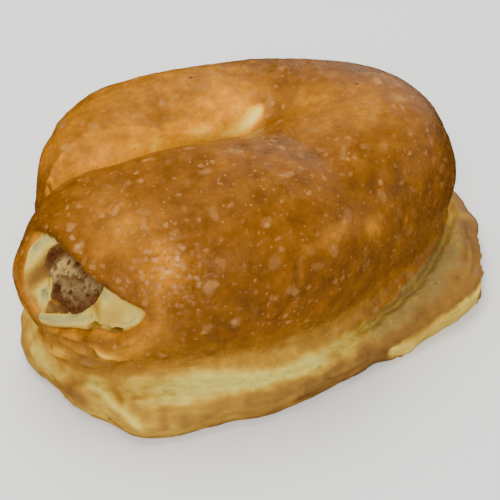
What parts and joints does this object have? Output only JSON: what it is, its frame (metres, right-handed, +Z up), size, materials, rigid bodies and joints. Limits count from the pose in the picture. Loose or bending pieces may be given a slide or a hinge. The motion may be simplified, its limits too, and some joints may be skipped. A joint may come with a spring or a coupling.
{
  "type": "walnut crescent roll",
  "caption": "Glazed horseshoe-shaped sweet roll on a flared pastry foot, with a walnut filling that shows at the open ends.",
  "frame": {"origin": "middle of the bounding box in plan, on the surface the roll rests on", "axes": "+X along the two arms towards the closed bend, +Y from the front arm to the back arm, +Z up"},
  "size_m": [0.1126, 0.0936, 0.0453],
  "materials": {
    "glazed_crust": "golden-brown baked crust with an egg-wash gloss, paler at the waist and the open ends",
    "walnut_filling": "matt porous crumb of ground walnut, beige with dark brown pieces"
  },
  "bodies": {
    "root": {"roll_dough": "glazed_crust", "walnut_filling": "walnut_filling"}
  },
  "joints": []
}
